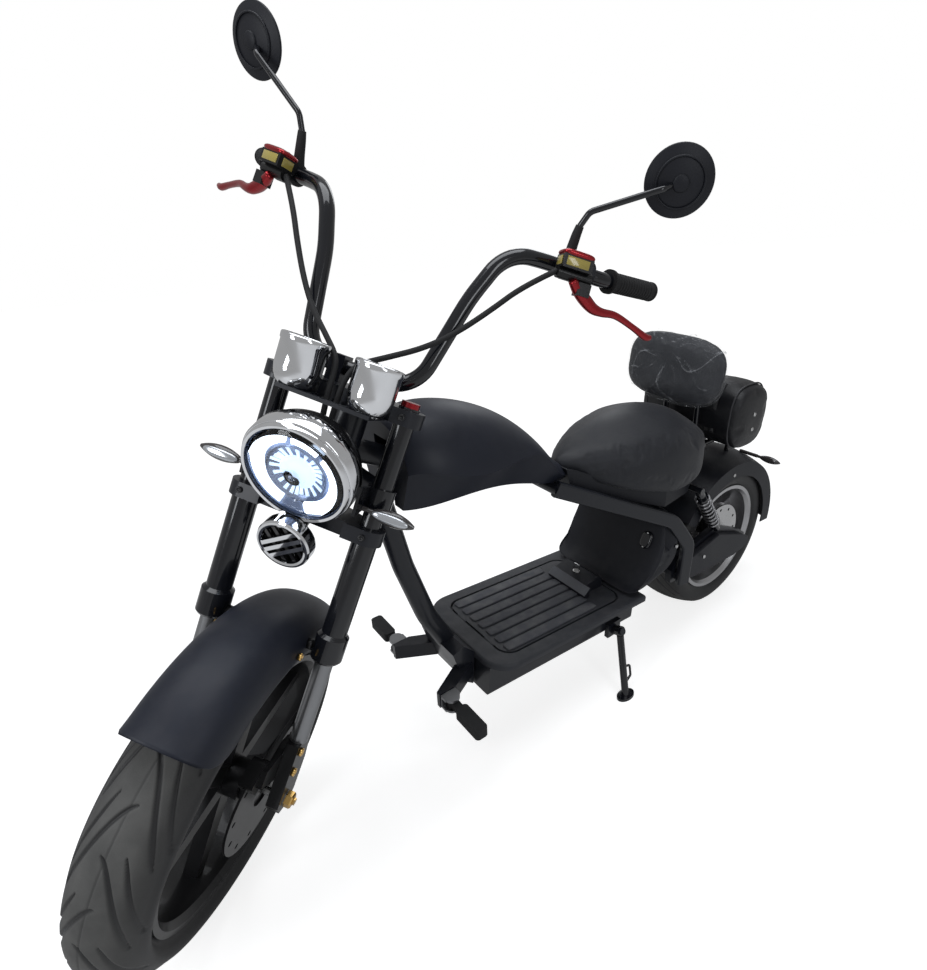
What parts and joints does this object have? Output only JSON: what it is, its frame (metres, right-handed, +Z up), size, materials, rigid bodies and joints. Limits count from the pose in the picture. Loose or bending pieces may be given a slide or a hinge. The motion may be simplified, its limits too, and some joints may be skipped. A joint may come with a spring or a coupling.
{
  "type": "electric chopper scooter",
  "caption": "Low electric chopper scooter with a long raked fork, high bars, fat tyres, flat deck over the battery, dipped seat and rear bag.",
  "frame": {"origin": "on the floor under the middle of the bounding box, with the scooter leaning on its side stand", "axes": "+X forward, +Y to the rider's left, +Z up from the floor"},
  "size_m": [1.8996, 0.6942, 1.4657],
  "materials": {
    "satin_black_paint": "satin",
    "gloss_black_paint": "gloss",
    "cast_black": "satin",
    "silver_alloy": "satin",
    "bright_steel": "brushed",
    "chrome": "polished",
    "red_anodised": "anodised",
    "grip_rubber": "matt",
    "tyre_rubber": "matt",
    "black_plastic": "matt",
    "gloss_plastic": "gloss",
    "grey_plastic": "matt",
    "seat_vinyl": "matt",
    "bag_leather": "satin",
    "clear_lens": "clear",
    "red_lens": "gloss",
    "orange_lens": "gloss",
    "battery_case": "matt"
  },
  "bodies": {
    "chassis": {"frame": "satin_black_paint", "seat_rails": "satin_black_paint", "deck_tray": "satin_black_paint", "footboard": "grey_plastic", "battery": "battery_case", "shroud": "black_plastic", "seat_base": "black_plastic", "tank": "gloss_plastic", "seat": "seat_vinyl", "swingarm": "satin_black_paint", "swingarm_covers": "black_plastic", "rear_axle": "bright_steel", "rear_caliper": "cast_black", "peg_clevises": "silver_alloy", "rear_fender": "black_plastic", "luggage_rack": "gloss_black_paint", "rear_bag": "bag_leather", "backrest": "seat_vinyl", "tail_lamp": "red_lens", "rear_signals": "orange_lens", "shocks": "gloss_black_paint"},
    "fork": {"fork_tubes": "gloss_black_paint", "fork_sliders": "silver_alloy", "fork_feet": "cast_black", "fork_caps": "red_anodised", "front_axle": "bright_steel", "lower_clamp": "satin_black_paint", "upper_clamp": "satin_black_paint", "headlight_bucket": "gloss_plastic", "headlight_bezel": "chrome", "headlight_lens": "clear_lens", "headlight_ears": "gloss_black_paint", "horn": "gloss_black_paint", "front_signals": "orange_lens", "gauge_cups": "chrome", "front_fender": "gloss_plastic", "front_caliper": "cast_black", "handlebar": "gloss_black_paint", "grips": "grip_rubber", "switch_housings": "black_plastic", "brake_masters": "gloss_black_paint", "reservoir_caps": "red_anodised", "brake_levers": "red_anodised", "mirror_stems": "gloss_black_paint", "mirrors": "black_plastic", "brake_hoses": "grip_rubber"},
    "front_wheel": {"front_rim": "cast_black", "front_tyre": "tyre_rubber", "front_disc": "bright_steel"},
    "rear_wheel": {"rear_rim": "silver_alloy", "rear_tyre": "tyre_rubber", "rear_disc": "bright_steel"},
    "side_stand": {"side_stand": "gloss_black_paint"},
    "battery_cover": {"battery_lid": "grey_plastic", "lid_lock": "black_plastic"},
    "left_peg": {"left_peg": "grip_rubber"},
    "right_peg": {"right_peg": "grip_rubber"}
  },
  "joints": [
    {"name": "steering", "type": "hinge", "parent": "chassis", "child": "fork", "pos_m": [0.66772, -0.0262, 0.26201], "axis": [-0.4478, 0.101, 0.8884], "range_deg": [-82, 0]},
    {"name": "front_spin", "type": "hinge", "parent": "fork", "child": "front_wheel", "pos_m": [0.70144, 0.00833, 0.27508], "axis": [-0.587, 0.7163, -0.3773], "continuous": true},
    {"name": "rear_spin", "type": "hinge", "parent": "chassis", "child": "rear_wheel", "pos_m": [-0.68785, -0.0302, 0.23389], "axis": [-0.0006, 0.9936, -0.1132], "continuous": true},
    {"name": "stand_fold", "type": "hinge", "parent": "chassis", "child": "side_stand", "pos_m": [-0.19624, 0.10432, 0.15763], "axis": [0.0208, 0.9596, 0.2805], "range_deg": [0, 100]},
    {"name": "lid_lift", "type": "hinge", "parent": "chassis", "child": "battery_cover", "pos_m": [0.14664, -0.02596, 0.26676], "axis": [-0.0006, 0.9936, -0.1132], "range_deg": [0, 40]},
    {"name": "left_peg_fold", "type": "hinge", "parent": "chassis", "child": "left_peg", "pos_m": [0.28808, 0.0813, 0.21813], "axis": [0.0052, 0.1132, 0.9936], "range_deg": [0, 70]},
    {"name": "right_peg_fold", "type": "hinge", "parent": "chassis", "child": "right_peg", "pos_m": [0.28821, -0.14126, 0.24349], "axis": [-0.0052, -0.1132, -0.9936], "range_deg": [0, 70]}
  ]
}
